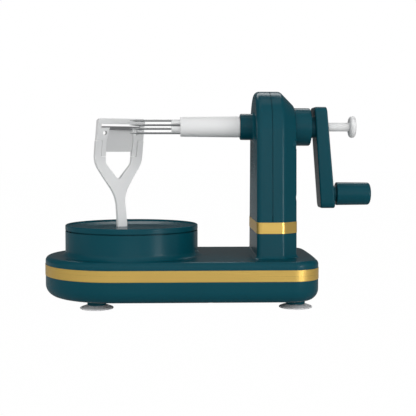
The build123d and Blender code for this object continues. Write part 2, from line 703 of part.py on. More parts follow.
def arm_place(shape):
    """Moves a shape drawn on the turntable's axis to its place."""
    return Pos(TABLE_X, 0, 0) * Rot(0, 0, ARM_TURN) * shape


def turntable_dish():
    """Shallow dish with a raised lip, a hub below it and lugs for the arm's hinge."""
    profile = [
        (0, DISH_FLOOR),
        (47.5, DISH_FLOOR),
        (48.3, DISH_FLOOR + 0.2),
        (54.9, DISH_FLOOR + 2.7),
        (55.2, DISH_FLOOR + 3.1),
        (55.2, DISH_LIP - 0.5),
        (55.7, DISH_LIP),
        (56.4, DISH_LIP),
        (PEDESTAL_RADIUS, DISH_LIP - 0.7),
        (PEDESTAL_RADIUS, DISH_LOW + 0.3),
        (PEDESTAL_RADIUS - 0.3, DISH_LOW),
        (54.3, DISH_LOW),
        (54.3, 57.5),
        (52.4, 57.5),
        (52.4, DISH_FLOOR - 0.5),
        (48.6, DISH_FLOOR - 2.4),
        (9.0, DISH_FLOOR - 2.4),
        (9.0, 27.0),
        (16.0, 27.0),
        (16.0, 24.0),
        (PIVOT_RADIUS + RUNNING, 24.0),
        (PIVOT_RADIUS + RUNNING, 51.0),
        (0, 51.0),
    ]
    dish = turned_z(profile)
    dish += block((-8.0, -4.9), (24, 31), (53.2, DISH_FLOOR - 1.5))
    dish += block((9.6, 12.6), (24, 31), (53.2, DISH_FLOOR - 1.5))
    dish -= block((-4.9, 4.9), (24.6, 32.6), (50, DISH_FLOOR + 2))
    dish -= Pos(-8.6, ARM_RADIUS, HINGE_Z) * Rot(0, 90, 0) * Cylinder(
        HINGE_RADIUS + PRESS, 22, align=(Align.CENTER, Align.CENTER, Align.MIN)
    )
    dish = arm_place(dish)
    for x, y in table_screw_places():
        dish -= rod_z(SCREW_PILOT, 23, 26.5, x, y)
    return dish


def arm_hinge_pin():
    """Pin under the dish that the peeler arm tilts on."""
    pin = Cylinder(HINGE_RADIUS, 21, align=(Align.CENTER, Align.CENTER, Align.MIN))
    return arm_place(Pos(-8.2, ARM_RADIUS, HINGE_Z) * Rot(0, 90, 0) * pin)


def arm_spring():
    """Torsion spring on the hinge pin that pulls the arm inwards."""
    wire = 0.4
    mean = 2.6
    turns = Pos(5.5, ARM_RADIUS, HINGE_Z) * Rot(0, 90, 0) * coil(wire, mean, 0.9, 3.6)
    return arm_place(turns)


def arm_slab(thickness, shift=0.0):
    """A wide strip that follows the arm's bow; shift moves it outwards."""
    bow = Plane.YZ * FilletPolyline(*ARM_BOW, radius=ARM_BOW_ROUNDS)
    section = Plane(bow @ 0, x_dir=(1, 0, 0), z_dir=bow % 0) * Pos(0, shift) * Rectangle(60, thickness)
    return sweep(section, path=bow)


def upright(face):
    """An outline in (tangential, height), made a deep prism through the arm."""
    return extrude(Plane.XZ * face, 80, both=True)


def both_sides(points):
    """A closed outline from its right-hand points and their mirror images."""
    return list(points) + [(-t, z) for t, z in reversed(points)]


def box_outline(half, low, high):
    """A rectangle about the arm's centre line."""
    return make_face(Polyline(both_sides([(half, low), (half, high)]), close=True))


def fork_outline():
    """Outer outline of the stem and its two tines."""
    right = FilletPolyline((22.2, FORK_TOP), (22.2, 121.0), (3.7, 91.5), (4.5, 52.8), radius=[22, 30])
    left = mirror(right, Plane.YZ)
    top = Line((-22.2, FORK_TOP), (22.2, FORK_TOP))
    foot = Line((4.5, 52.8), (-4.5, 52.8))
    return make_face([*right.edges(), *left.edges(), top, foot])


def window_outline():
    """Opening between the tines, with a rounded V at its foot."""
    points = [(-WINDOW_HALF, 145.0), (-12.2, 120.5), (0, 105.4), (12.2, 120.5), (WINDOW_HALF, 145.0)]
    sides = FilletPolyline(*points, radius=[8, 2.2, 8])
    top = Line(points[-1], points[0])
    return make_face([*sides.edges(), top])


def peeler_arm():
    """Fork-shaped arm: stem, two tines and the hinge eye at its foot."""
    room = box_outline(TAB_HALF + HEAD_SEAM, TAB_LOW, FORK_TOP + 1)
    arm = arm_slab(ARM_THICK) & upright(fork_outline())
    arm = arm - upright(window_outline()) - upright(room)
    arm -= Pos(-10, ARM_RADIUS, HINGE_Z) * Rot(0, 90, 0) * Cylinder(
        HINGE_RADIUS + RUNNING, 20, align=(Align.CENTER, Align.CENTER, Align.MIN)
    )
    return arm_place(arm)


def head_outline():
    """Outline of the blade frame: the head with its rounded top corners and the two tabs."""
    low = FORK_TOP + HEAD_SEAM
    tab = [(TAB_HALF, TAB_LOW + HEAD_SEAM), (TAB_HALF, low)]
    points = both_sides(tab + [(HEAD_HALF, low), (HEAD_HALF, HEAD_TOP)])
    outline = make_face(Polyline(points, close=True))
    return fillet(outline.vertices().group_by(Axis.Y)[-1], 2.5)


def guard_outline():
    """Outline of the guard plate between the tabs."""
    top = BLADE_SLOT[0]
    right = [(WINDOW_HALF, GUARD_LOW), (WINDOW_HALF, FORK_TOP), (10.5, top)]
    return make_face(Polyline(both_sides(right), close=True))


def blade_groove(grow):
    """Strip across the head that holds the blade, grown by a clearance."""
    face = box_outline(18.0 + grow, 150.4 - grow, 153.5 + grow)
    return arm_slab(0.8 + 2 * grow, -1.0) & upright(face)


def blade_frame():
    """Upper part of the head, with the blade slot, two sighting holes and the tabs."""
    frame = arm_slab(ARM_THICK) & upright(head_outline())
    frame -= upright(window_outline()) & block((-30, 30), (0, 80), (100, GUARD_LOW))
    frame -= upright(guard_outline())
    frame -= upright(box_outline(BLADE_HALF, *BLADE_SLOT))
    frame -= blade_groove(PRESS)
    for side in (-1, 1):
        hole = Pos(side * 14.6, 0, 147.6) * Rot(90, 0, 0) * Cylinder(1.9, 200)
        frame -= hole
    return arm_place(frame)


def guard_plate():
    """Scooped plate under the blade that rides on the fruit."""
    plate = arm_slab(ARM_THICK - 1.0, 0.5) & upright(guard_outline())
    (low_y, low_z), (high_y, high_z) = ARM_BOW[2:]
    slope = (high_y - low_y) / (high_z - low_z)
    scoop_radius = 45.0
    middle_z = 145.0
    middle_y = low_y + slope * (middle_z - low_z) - scoop_radius - 0.6
    lean = -atan(slope) * 180 / pi
    scoop = Pos(0, middle_y, middle_z) * Rot(lean, 0, 0) * Cylinder(scoop_radius, 60)
    return arm_place(plate - scoop - blade_groove(PRESS))


def peeler_blade():
    """Steel blade whose edge stands up in the slot."""
    return arm_place(blade_groove(0))


column = column_shell()
front_bore = SLEEVE_JOURNAL + RUNNING
rear_bore = CRANK_JOURNAL + RUNNING
bodies = {
    "base_lower_shell": base_lower_shell(),
    "base_upper_shell": base_upper_shell(),
    "base_trim_band": base_trim_band(),
    "base_screws": screws_up(BASE_SCREW_PLACES, 15.5, 29),
    "column_left_half": column_left_half(column),
    "column_right_half": column_right_half(column),
    "column_trim_band": column_trim_band(),
    "column_screws": column_screws(),
    "spindle_front_bushing": ring_x(front_bore, front_bore + 2.4, COLLAR_LEFT + 0.3, 41.2),
    "spindle_rear_bushing": ring_x(rear_bore, rear_bore + BUSHING_WALL, 71.6, HUB_RIGHT - 0.4),
    "shaft_bracket": shaft_bracket(),
    "shaft_upper_bushing": ring_z(SHAFT_RADIUS + RUNNING, 5.0, 118, 131.5, DRIVE_X),
    "shaft_lower_bushing": ring_z(SHAFT_RADIUS + RUNNING, 5.0, FLOOR, 17.6, DRIVE_X),
    "idler_axle": idler_axle(),
    "turntable_pivot": turntable_pivot(),
    "spindle_tube": spindle_tube(),
    "spindle_sleeve": spindle_sleeve(),
    "prong_holder": prong_holder(),
    "prongs": prongs(),
    "spindle_pinion": spindle_pinion(),
    "crank_arm": crank_arm(),
    "crank_circlip": crank_circlip(),
    "grip_pin": grip_pin(),
    "ejector_spring": ejector_spring(),
    "grip": grip(),
    "grip_cap": grip_cap(),
    "ejector_rod": rod_x(EJECTOR_ROD_RADIUS, -31, 101),
    "ejector_head": ejector_head(),
    "ejector_button": ejector_button(),
    "ejector_collar": ring_x(EJECTOR_ROD_RADIUS + PRESS, 3.7, 93.8, BUTTON_STEM_LEFT),
    "drive_shaft": rod_z(SHAFT_RADIUS, FLOOR + 0.2, 146.0, DRIVE_X),
    "bevel_gear": bevel_gear(),
    "drive_pinion": drive_pinion(),
    "idler_gear": idler_gear(),
    "turntable_dish": turntable_dish(),
    "turntable_gear": turntable_gear(),
    "turntable_screws": screws_up(table_screw_places(), 14.5, 26.3),
    "arm_hinge_pin": arm_hinge_pin(),
    "arm_spring": arm_spring(),
    "peeler_arm": peeler_arm(),
    "blade_frame": blade_frame(),
    "guard_plate": guard_plate(),
    "peeler_blade": peeler_blade(),
}
for place, (foot_x, foot_y) in FOOT_PLACES.items():
    bodies["suction_cup_" + place] = suction_cup(foot_x, foot_y)

os.makedirs("parts", exist_ok=True)
for name, body in bodies.items():
    export_step(body, "parts/" + name + ".step")
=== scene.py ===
import json
import math

import bmesh
import bpy
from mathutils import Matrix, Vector

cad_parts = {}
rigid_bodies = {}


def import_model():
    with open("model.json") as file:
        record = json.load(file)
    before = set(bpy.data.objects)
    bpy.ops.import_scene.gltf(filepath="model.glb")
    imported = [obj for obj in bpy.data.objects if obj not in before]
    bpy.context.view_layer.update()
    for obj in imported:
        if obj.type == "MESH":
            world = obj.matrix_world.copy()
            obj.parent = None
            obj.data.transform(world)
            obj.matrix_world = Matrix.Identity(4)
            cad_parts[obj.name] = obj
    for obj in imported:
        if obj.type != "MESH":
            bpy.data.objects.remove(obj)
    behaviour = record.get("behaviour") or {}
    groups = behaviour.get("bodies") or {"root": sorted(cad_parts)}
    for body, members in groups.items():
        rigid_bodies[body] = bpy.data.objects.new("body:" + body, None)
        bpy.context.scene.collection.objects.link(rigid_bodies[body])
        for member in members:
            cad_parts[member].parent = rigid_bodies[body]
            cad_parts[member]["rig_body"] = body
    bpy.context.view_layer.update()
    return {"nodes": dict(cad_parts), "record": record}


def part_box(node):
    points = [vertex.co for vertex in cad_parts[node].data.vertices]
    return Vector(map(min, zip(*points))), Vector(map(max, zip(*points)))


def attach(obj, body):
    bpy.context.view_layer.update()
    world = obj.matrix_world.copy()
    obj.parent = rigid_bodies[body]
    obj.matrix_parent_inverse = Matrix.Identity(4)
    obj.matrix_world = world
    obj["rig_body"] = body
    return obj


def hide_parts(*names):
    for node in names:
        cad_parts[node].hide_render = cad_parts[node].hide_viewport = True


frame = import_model()
nodes = frame["nodes"]
record = frame["record"]
print("frame loaded:", len(nodes), "nodes")

nodeSlots = {part["node"]: part["material_slot"] for part in record["subparts"]}


# ---- materials

def startMaterial(name):
    # an empty node material with a principled shader and object coordinates
    material = bpy.data.materials.new(name)
    material.use_nodes = True
    tree = material.node_tree
    tree.nodes.clear()
    output = tree.nodes.new("ShaderNodeOutputMaterial")
    shader = tree.nodes.new("ShaderNodeBsdfPrincipled")
    place = tree.nodes.new("ShaderNodeTexCoord")
    tree.links.new(shader.outputs["BSDF"], output.inputs["Surface"])
    output.location = (500, 0)
    shader.location = (200, 0)
    place.location = (-1200, 0)
    return material, tree, shader, place.outputs["Object"]


def stretchedNoise(tree, place, stretch, detail=4.0, rough=0.55):
    # noise whose grain size is set along each axis, in cells per metre
    mapping = tree.nodes.new("ShaderNodeMapping")
    mapping.inputs["Scale"].default_value = stretch
    noise = tree.nodes.new("ShaderNodeTexNoise")
    noise.inputs["Scale"].default_value = 1.0
    noise.inputs["Detail"].default_value = detail
    noise.inputs["Roughness"].default_value = rough
    tree.links.new(place, mapping.inputs["Vector"])
    tree.links.new(mapping.outputs["Vector"], noise.inputs["Vector"])
    return noise.outputs["Fac"]


noiseMiddle = (0.3, 0.7)  # where nearly all of a noise's values lie


def spread(tree, value, low, high):
    # stretches the middle of a noise to the range low..high
    ramp = tree.nodes.new("ShaderNodeMapRange")
    ramp.inputs["From Min"].default_value = noiseMiddle[0]
    ramp.inputs["From Max"].default_value = noiseMiddle[1]
    ramp.inputs["To Min"].default_value = low
    ramp.inputs["To Max"].default_value = high
    tree.links.new(value, ramp.inputs["Value"])
    return ramp.outputs["Result"]


def blendColours(tree, factor, first, second):
    mix = tree.nodes.new("ShaderNodeMix")
    mix.data_type = "RGBA"
    tree.links.new(factor, mix.inputs["Factor"])
    for socket, colour in ((6, first), (7, second)):
        if hasattr(colour, "is_linked"):
            tree.links.new(colour, mix.inputs[socket])
        else:
            mix.inputs[socket].default_value = (*colour, 1.0)
    return mix.outputs[2]


def addBump(tree, shader, heights):
    # chains one bump node for each (height, strength, depth in metres)
    normal = None
    for height, strength, depth in heights:
        bump = tree.nodes.new("ShaderNodeBump")
        bump.inputs["Strength"].default_value = strength
        bump.inputs["Distance"].default_value = depth
        tree.links.new(height, bump.inputs["Height"])
        if normal:
            tree.links.new(normal, bump.inputs["Normal"])
        normal = bump.outputs["Normal"]
    tree.links.new(normal, shader.inputs["Normal"])


bumpStrength = {"wave": 0.25, "grain": 0.35, "lines": 0.4, "ripple": 0.3}
softReach = {"radius": (0.8, 0.8, 0.8), "scale": 0.0015}  # how far light travels inside pale plastic


def mouldedPlastic(name, look):
    # injection-moulded plastic: faint cloudiness from the flow and a fine eggshell texture
    material, tree, shader, place = startMaterial(name)
    cloud = stretchedNoise(tree, place, (look["cloud"],) * 3, 3.0)
    shell = stretchedNoise(tree, place, (look["grain"],) * 3, 3.0, 0.6)
    wave = stretchedNoise(tree, place, (look["wave"],) * 3, 1.0)
    colour = blendColours(tree, spread(tree, cloud, 0.0, 1.0), look["colour"], look["colour2"])
    tree.links.new(colour, shader.inputs["Base Color"])
    rough = spread(tree, shell, look["rough"][0], look["rough"][1])
    tree.links.new(rough, shader.inputs["Roughness"])
    shader.inputs["Specular IOR Level"].default_value = look["gloss"]
    if look.get("soft"):
        shader.inputs["Subsurface Weight"].default_value = look["soft"]
        shader.inputs["Subsurface Radius"].default_value = softReach["radius"]
        shader.inputs["Subsurface Scale"].default_value = softReach["scale"]
    waves = (wave, bumpStrength["wave"], look["waveDepth"])
    grains = (shell, bumpStrength["grain"], look["grainDepth"])
    addBump(tree, shader, [waves, grains])
    return material


def brushedMetal(name, look):
    # metal with fine lines along the directions that have few cells per metre
    material, tree, shader, place = startMaterial(name)
    lines = stretchedNoise(tree, place, look["lines"], 5.0, 0.65)
    stain = stretchedNoise(tree, place, (look["stain"],) * 3, 3.0)
    colour = blendColours(tree, spread(tree, lines, 0.0, 1.0), look["colour"], look["colour2"])
    shade = blendColours(tree, spread(tree, stain, 0.0, look["stainAmount"]), colour, look["stainColour"])
    tree.links.new(shade, shader.inputs["Base Color"])
    shader.inputs["Metallic"].default_value = look.get("metal", 1.0)
    rough = spread(tree, lines, look["rough"][0], look["rough"][1])
    tree.links.new(rough, shader.inputs["Roughness"])
    addBump(tree, shader, [(lines, bumpStrength["lines"], look["lineDepth"])])
    return material


def clearVinyl(name, look):
    # soft see-through vinyl with a milky bloom and fine surface ripples
    material, tree, shader, place = startMaterial(name)
    bloom = stretchedNoise(tree, place, (look["bloom"],) * 3, 4.0)
    ripple = stretchedNoise(tree, place, (look["ripple"],) * 3, 2.0)
    colour = blendColours(tree, spread(tree, bloom, 0.0, 1.0), look["colour"], look["colour2"])
    tree.links.new(colour, shader.inputs["Base Color"])
    rough = spread(tree, bloom, look["rough"][0], look["rough"][1])
    tree.links.new(rough, shader.inputs["Roughness"])
    shader.inputs["Transmission Weight"].default_value = look["clear"]
    shader.inputs["IOR"].default_value = look["ior"]
    addBump(tree, shader, [(ripple, bumpStrength["ripple"], look["rippleDepth"])])
    return material


tealLook = {
    "colour": (0.0020, 0.059, 0.081), "colour2": (0.0024, 0.063, 0.087),
    "cloud": 14.0, "grain": 2600.0, "wave": 90.0,
    "rough": (0.22, 0.28), "gloss": 0.16,
    "waveDepth": 0.00006, "grainDepth": 0.000012,
}
lightLook = {
    "colour": (0.831, 0.831, 0.831), "colour2": (0.860, 0.860, 0.854),
    "cloud": 22.0, "grain": 3000.0, "wave": 110.0,
    "rough": (0.38, 0.47), "gloss": 0.25, "soft": 0.12,
    "waveDepth": 0.00004, "grainDepth": 0.000012,
}
# the pale plastic made darker: painted shade for the guard plate, which sits recessed in the frame
guardShadedLook = dict(lightLook, colour=(0.749, 0.749, 0.749), colour2=(0.778, 0.778, 0.772), wave=140.0)
gearLook = dict(lightLook, colour=(0.74, 0.72, 0.66), colour2=(0.78, 0.76, 0.71), rough=(0.42, 0.5))
goldLook = {
    "colour": (0.94, 0.615, 0.150), "colour2": (0.97, 0.66, 0.185),
    "lines": (5.0, 5.0, 5200.0), "stain": 30.0, "stainAmount": 0.10, "stainColour": (0.720, 0.470, 0.130),
    "rough": (0.26, 0.38), "lineDepth": 0.000008, "metal": 0.85,
}
polishedLook = {
    "colour": (0.37, 0.38, 0.38), "colour2": (0.51, 0.52, 0.52),
    "lines": (25.0, 3500.0, 3500.0), "stain": 120.0, "stainAmount": 0.12, "stainColour": (0.30, 0.30, 0.31),
    "rough": (0.16, 0.28), "lineDepth": 0.000006,
}
bladeLook = dict(
    polishedLook, colour=(0.34, 0.34, 0.35), colour2=(0.46, 0.46, 0.47), lines=(2600.0, 2600.0, 40.0),
)
turnedLook = dict(
    polishedLook, colour=(0.52, 0.52, 0.52), colour2=(0.64, 0.64, 0.63), lines=(4200.0, 60.0, 60.0),
)
shaftLook = dict(turnedLook, lines=(60.0, 60.0, 4200.0))
springLook = dict(polishedLook, colour=(0.40, 0.40, 0.41), lines=(400.0, 400.0, 400.0), rough=(0.22, 0.34))
screwLook = dict(polishedLook, colour=(0.50, 0.50, 0.47), lines=(900.0, 900.0, 2200.0), rough=(0.3, 0.42))
brassLook = dict(goldLook, colour=(0.66, 0.45, 0.17), colour2=(0.76, 0.55, 0.24), lines=(2200.0, 60.0, 60.0))
cupLook = {
    "colour": (0.90, 0.89, 0.90), "colour2": (0.95, 0.94, 0.95), "bloom": 320.0, "ripple": 700.0,
    "rough": (0.22, 0.36), "clear": 0.12, "ior": 1.47, "rippleDepth": 0.00002,
}

slotMaterials = {
    "teal_plastic": mouldedPlastic("tealPlastic", tealLook),
    "light_plastic": mouldedPlastic("lightPlastic", lightLook),
    "gear_plastic": mouldedPlastic("acetal", gearLook),
    "gold_trim": brushedMetal("goldBand", goldLook),
    "polished_steel": brushedMetal("prongSteel", polishedLook),
    "shaft_steel": brushedMetal("turnedSteel", turnedLook),
    "spring_steel": brushedMetal("springWire", springLook),
    "screw_steel": brushedMetal("screwZinc", screwLook),
    "bushing_brass": brushedMetal("bushingBrass", brassLook),
    "cup_rubber": clearVinyl("cupVinyl", cupLook),
}
nodeMaterials = {
    # the guard plate gets the darker copy of the pale plastic, with painted shade
    "guard_plate": mouldedPlastic("guardShadedPlastic", guardShadedLook),
    "peeler_blade": brushedMetal("bladeSteel", bladeLook),
}
for upright in ("drive_shaft", "idler_axle", "turntable_pivot"):
    nodeMaterials[upright] = brushedMetal("uprightSteel_" + upright, shaftLook)


def materialFor(node):
    return nodeMaterials.get(node) or slotMaterials[nodeSlots[node]]


for node, piece in nodes.items():
    piece.data.materials.clear()
    piece.data.materials.append(materialFor(node))
print("materials made:", len(bpy.data.materials))


# ---- pieces

def newPiece(name, work, node):
    # turns a bmesh into a piece that stands for a CAD node
    mesh = bpy.data.meshes.new(name)
    work.to_mesh(mesh)
    work.free()
    piece = bpy.data.objects.new(name, mesh)
    bpy.context.scene.collection.objects.link(piece)
    mesh.materials.append(materialFor(node))
    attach(piece, nodes[node]["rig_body"])
    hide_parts(node)
    return piece


# the weld in metres, the angles in degrees
edgeLook = {"weld": 0.000004, "flat": 0.4, "sharp": 30.0, "segments": 2}


def softenedCopy(node, name, edgeRound):
    # a welded copy of a CAD node with rounded edges and smooth shading
    work = bmesh.new()
    work.from_mesh(nodes[node].data)
    for layer in list(work.loops.layers.float_vector.keys()):
        work.loops.layers.float_vector.remove(work.loops.layers.float_vector[layer])
    bmesh.ops.remove_doubles(work, verts=work.verts, dist=edgeLook["weld"])
    bmesh.ops.dissolve_degenerate(work, edges=work.edges, dist=edgeLook["weld"])
    flat = math.radians(edgeLook["flat"])
    bmesh.ops.dissolve_limit(work, angle_limit=flat, verts=work.verts, edges=work.edges)
    for face in work.faces:
        face.smooth = True
    sharp = math.radians(edgeLook["sharp"])
    for side in work.edges:
        side.smooth = not (len(side.link_faces) == 2 and side.calc_face_angle() > sharp)
    piece = newPiece(name, work, node)
    if "custom_normal" in piece.data.attributes:
        piece.data.attributes.remove(piece.data.attributes["custom_normal"])
    bevel = piece.modifiers.new("roundedEdges", "BEVEL")
    bevel.width = edgeRound
    bevel.segments = edgeLook["segments"]
    bevel.limit_method = "ANGLE"
    bevel.angle_limit = sharp
    bevel.harden_normals = True
    bevel.use_clamp_overlap = True


# each CAD node with its piece's name and its edge radius in metres
softEdges = {
    "base_upper_shell": ("upperShell", 0.0003),
    "base_lower_shell": ("lowerShell", 0.0003),
    "base_trim_band": ("baseGoldBand", 0.00015),
    "column_left_half": ("columnLeftHalf", 0.0003),
    "column_right_half": ("columnRightHalf", 0.0003),
    "column_trim_band": ("columnGoldBand", 0.00015),
    "turntable_dish": ("turntableDish", 0.0003),
    "crank_arm": ("crankArm", 0.0004),
    "grip": ("handGrip", 0.0003),
    "grip_cap": ("gripEndCap", 0.0002),
    "spindle_sleeve": ("spindleSleeve", 0.0003),
    "prong_holder": ("prongHolder", 0.0002),
    "ejector_head": ("ejectorHead", 0.0002),
    "ejector_button": ("ejectorButton", 0.0003),
    "peeler_arm": ("peelerArm", 0.0005),
    "blade_frame": ("bladeFrame", 0.0004),
    "guard_plate": ("guardPlate", 0.0003),
}
for node, (name, edgeRound) in softEdges.items():
    softenedCopy(node, name, edgeRound)
print("softened copies:", len(softEdges))


def latheRings(work, points, steps, centre):
    # turns (radius, height) points round an upright line; a radius of 0 closes a pole
    rings = []
    for radius, height in points:
        if radius == 0:
            rings.append([work.verts.new((centre.x, centre.y, height))])
            continue
        ring = []
        for step in range(steps):
            angle = 2 * math.pi * step / steps
            spot = (centre.x + radius * math.cos(angle), centre.y + radius * math.sin(angle), height)
            ring.append(work.verts.new(spot))
        rings.append(ring)
    for upper, lower in zip(rings, rings[1:]):
        for step in range(steps):
            after = (step + 1) % steps
            if len(upper) == 1:
                work.faces.new((upper[0], lower[step], lower[after]))
            elif len(lower) == 1:
                work.faces.new((upper[step], lower[0], upper[after]))
            else:
                work.faces.new((upper[step], lower[step], lower[after], upper[after]))


# the bell's points are (share of the cup's radius, height in metres)
cupShape = {
    "steps": 48, "stem": 0.21, "lip": 0.0007,
    "bellTop": [(0.50, 0.0034), (0.66, 0.0027), (0.84, 0.0018), (0.95, 0.0012)],
    "bellUnder": [(0.92, 0.0001), (0.84, 0.0007), (0.66, 0.0014), (0.40, 0.0019), (0, 0.0020)],
}


def suctionCup(node, name):
    # a thin bell under a solid stem, with a rolled lip that lies on the worktop
    low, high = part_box(node)
    centre = (low + high) / 2
    radius = (high.x - low.x) / 2
    tall = high.z - low.z
    stem = radius * cupShape["stem"]
    lip = cupShape["lip"]
    outline = [(0, tall), (stem * 0.8, tall), (stem, tall - 0.0006), (stem, 0.0040), (stem + 0.0005, 0.0035)]
    outline += [(radius * share, height) for share, height in cupShape["bellTop"]]
    outline += [(radius - 0.0002, lip + 0.0003), (radius, lip * 0.6), (radius - 0.0003, 0.0)]
    outline += [(radius * share, height) for share, height in cupShape["bellUnder"]]
    work = bmesh.new()
    latheRings(work, [(r, low.z + z) for r, z in outline], cupShape["steps"], centre)
    bmesh.ops.recalc_face_normals(work, faces=work.faces)
    for face in work.faces:
        face.smooth = True
    piece = newPiece(name, work, node)
    finer = piece.modifiers.new("softForm", "SUBSURF")
    finer.levels = 1
    finer.render_levels = 1


cupNames = {
    "suction_cup_front_left": "cupFrontLeft",
    "suction_cup_back_left": "cupBackLeft",
    "suction_cup_front_right": "cupFrontRight",
    "suction_cup_back_right": "cupBackRight",
}
for node, name in cupNames.items():
    suctionCup(node, name)
print("suction cups:", len(cupNames))


screwLooks = {
    "base_screws": {"name": "baseScrewSet", "seed": 3, "turns": 7.0},
    "turntable_screws": {"name": "turntableScrewSet", "seed": 8, "turns": 6.0},
}
screwShape = {
    "headRadius": 0.003, "headThick": 0.002, "shank": 0.00145, "thread": 0.00028,
    "slotLong": 0.004, "slotWide": 0.0009, "slotDeep": 0.0009,
    "headSides": 40, "shankSides": 28, "threadShare": 0.86, "threadStart": 0.07, "weld": 0.000002,
}


def addNode(tree, kind, **values):
    # a node with its named inputs set to plain values or linked to sockets
    node = tree.nodes.new(kind)
    for name, value in values.items():
        socket = node.inputs[name.replace("_", " ")]
        if hasattr(value, "is_linked"):
            tree.links.new(value, socket)
        else:
            socket.default_value = value
    return node


def lifted(tree, mesh, height):
    # moves a mesh up by a height socket or value
    shift = tree.nodes.new("ShaderNodeCombineXYZ")
    if hasattr(height, "is_linked"):
        tree.links.new(height, shift.inputs["Z"])
    else:
        shift.inputs["Z"].default_value = height
    moved = addNode(tree, "GeometryNodeTransform", Geometry=mesh, Translation=shift.outputs["Vector"])
    return moved.outputs[0]


def worked(tree, operation, first, second):
    # arithmetic on two values or sockets
    sums = tree.nodes.new("ShaderNodeMath")
    sums.operation = operation
    for slot, value in ((0, first), (1, second)):
        if hasattr(value, "is_linked"):
            tree.links.new(value, sums.inputs[slot])
        else:
            sums.inputs[slot].default_value = value
    return sums.outputs["Value"]


def screwTree():
    # one screw with a cross slot and a thread, set head down on every point and turned at random
    tree = bpy.data.node_groups.new("screwSet", "GeometryNodeTree")
    for name, kind in (
        ("Places", "NodeSocketGeometry"), ("Head Radius", "NodeSocketFloat"),
        ("Head Thickness", "NodeSocketFloat"), ("Shank Radius", "NodeSocketFloat"),
        ("Length", "NodeSocketFloat"), ("Thread Depth", "NodeSocketFloat"),
        ("Thread Turns", "NodeSocketFloat"), ("Slot Size", "NodeSocketVector"),
        ("Seed", "NodeSocketInt"), ("Material", "NodeSocketMaterial"),
    ):
        tree.interface.new_socket(name=name, in_out="INPUT", socket_type=kind)
    tree.interface.new_socket(name="Screws", in_out="OUTPUT", socket_type="NodeSocketGeometry")
    given = tree.nodes.new("NodeGroupInput").outputs
    shape = screwShape
    thick = given["Head Thickness"]
    head = addNode(
        tree, "GeometryNodeMeshCylinder", Vertices=shape["headSides"],
        Radius=given["Head Radius"], Depth=thick,
    )
    cross = addNode(tree, "GeometryNodeJoinGeometry")
    for turn in (0.0, math.pi / 2):
        bar = addNode(tree, "GeometryNodeMeshCube", Size=given["Slot Size"])
        turned = addNode(tree, "GeometryNodeTransform", Geometry=bar.outputs["Mesh"], Rotation=(0, 0, turn))
        tree.links.new(turned.outputs[0], cross.inputs[0])
    cut = tree.nodes.new("GeometryNodeMeshBoolean")
    cut.operation = "DIFFERENCE"
    tree.links.new(lifted(tree, head.outputs["Mesh"], worked(tree, "MULTIPLY", thick, 0.5)), cut.inputs[0])
    tree.links.new(cross.outputs[0], cut.inputs[1])
    core = worked(tree, "SUBTRACT", given["Shank Radius"], given["Thread Depth"])
    rest = worked(tree, "SUBTRACT", given["Length"], thick)
    shank = addNode(tree, "GeometryNodeMeshCylinder", Vertices=shape["shankSides"], Radius=core, Depth=rest)
    middle = worked(tree, "ADD", thick, worked(tree, "MULTIPLY", rest, 0.5))
    spiral = addNode(
        tree, "GeometryNodeCurveSpiral", Resolution=shape["shankSides"], Rotations=given["Thread Turns"],
        Start_Radius=core, End_Radius=core, Height=worked(tree, "MULTIPLY", rest, shape["threadShare"]),
    )
    ridge = addNode(tree, "GeometryNodeCurvePrimitiveCircle", Resolution=4, Radius=given["Thread Depth"])
    thread = addNode(
        tree, "GeometryNodeCurveToMesh", Curve=spiral.outputs[0],
        Profile_Curve=ridge.outputs[0], Fill_Caps=True,
    )
    whole = addNode(tree, "GeometryNodeJoinGeometry")
    threadFoot = worked(tree, "ADD", thick, worked(tree, "MULTIPLY", rest, shape["threadStart"]))
    body = lifted(tree, shank.outputs["Mesh"], middle)
    for mesh in (cut.outputs[0], body, lifted(tree, thread.outputs[0], threadFoot)):
        tree.links.new(mesh, whole.inputs[0])
    spots = addNode(tree, "GeometryNodeInstanceOnPoints", Points=given["Places"], Instance=whole.outputs[0])
    chance = tree.nodes.new("FunctionNodeRandomValue")
    chance.data_type = "FLOAT_VECTOR"
    chance.inputs["Min"].default_value = (0, 0, 0)
    chance.inputs["Max"].default_value = (0, 0, math.pi)
    tree.links.new(given["Seed"], chance.inputs["Seed"])
    turned = addNode(
        tree, "GeometryNodeRotateInstances", Instances=spots.outputs[0], Rotation=chance.outputs[0],
    )
    real = addNode(tree, "GeometryNodeRealizeInstances", Geometry=turned.outputs[0])
    painted = addNode(tree, "GeometryNodeSetMaterial", Geometry=real.outputs[0], Material=given["Material"])
    leave = tree.nodes.new("NodeGroupOutput")
    tree.links.new(painted.outputs[0], leave.inputs[0])
    return tree


def loosePlaces(node):
    # the centre of the lower end of every separate solid in a CAD node
    work = bmesh.new()
    work.from_mesh(nodes[node].data)
    bmesh.ops.remove_doubles(work, verts=work.verts, dist=screwShape["weld"])
    waiting = set(work.verts)
    places = []
    while waiting:
        group = [waiting.pop()]
        for vert in group:
            for side in vert.link_edges:
                other = side.other_vert(vert)
                if other in waiting:
                    waiting.remove(other)
                    group.append(other)
        across = [[vert.co[axis] for vert in group] for axis in range(3)]
        middle = [(min(across[axis]) + max(across[axis])) / 2 for axis in range(2)]
        places.append((*middle, min(across[2])))
    work.free()
    return sorted(places)


